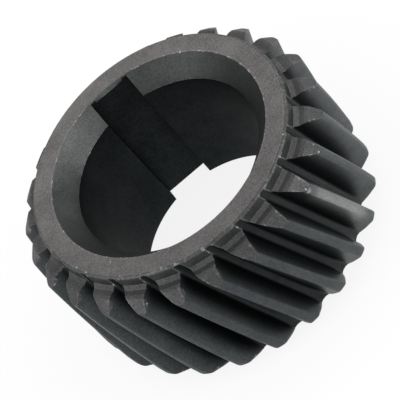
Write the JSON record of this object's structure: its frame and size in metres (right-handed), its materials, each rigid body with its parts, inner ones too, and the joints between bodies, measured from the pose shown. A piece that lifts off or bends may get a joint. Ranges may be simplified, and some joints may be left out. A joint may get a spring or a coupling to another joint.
{
  "type": "helical gear",
  "caption": "Helical steel gear ring with a plain keyed bore, a raised turned hub face and bevelled tooth ends.",
  "frame": {"origin": "middle of the flat back face, which the gear stands on", "axes": "+Z runs along the bore from the back face to the raised hub face; the keyway lies on the -Y side"},
  "size_m": [0.0714, 0.0714, 0.036],
  "materials": {
    "blackened_steel": "matt black oxide on cut and turned steel"
  },
  "bodies": {
    "root": {"helical_gear": "blackened_steel"}
  },
  "joints": []
}
